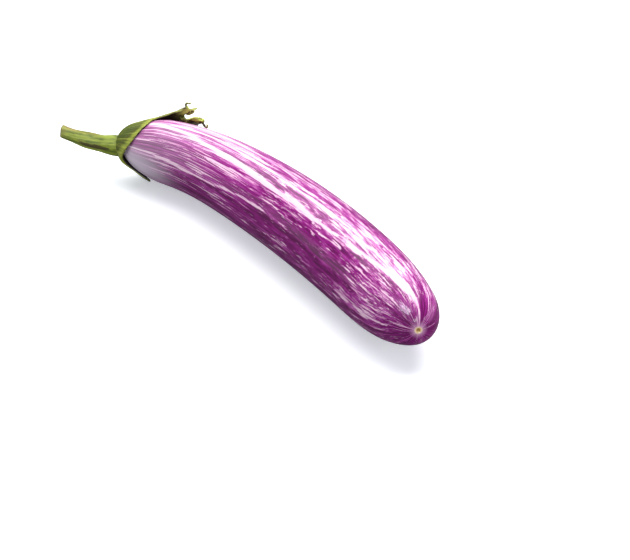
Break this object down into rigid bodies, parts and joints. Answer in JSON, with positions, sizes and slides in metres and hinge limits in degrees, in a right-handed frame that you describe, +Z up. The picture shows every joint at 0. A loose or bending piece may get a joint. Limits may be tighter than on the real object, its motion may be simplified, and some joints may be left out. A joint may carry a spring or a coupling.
{
  "type": "eggplant",
  "caption": "Long striped eggplant, bent at the neck, lying on its side with its calyx and cut stem.",
  "frame": {"origin": "middle of the object's box, on the surface that it lies on", "axes": "+X along the fruit from the stem to the blossom end, +Z up, -Y the hollow of its bend"},
  "size_m": [0.2566, 0.0656, 0.0412],
  "materials": {
    "skin": "smooth waxy peel, purple with pale lengthwise streaks, glossy",
    "calyx": "leathery green leaf tissue, ribbed, dried brown at the lobe tips, satin",
    "stem": "ridged green stalk with brown scuffs, satin, dry at the cut"
  },
  "bodies": {
    "root": {"fruit": "skin", "calyx": "calyx", "stem": "stem"}
  },
  "joints": []
}
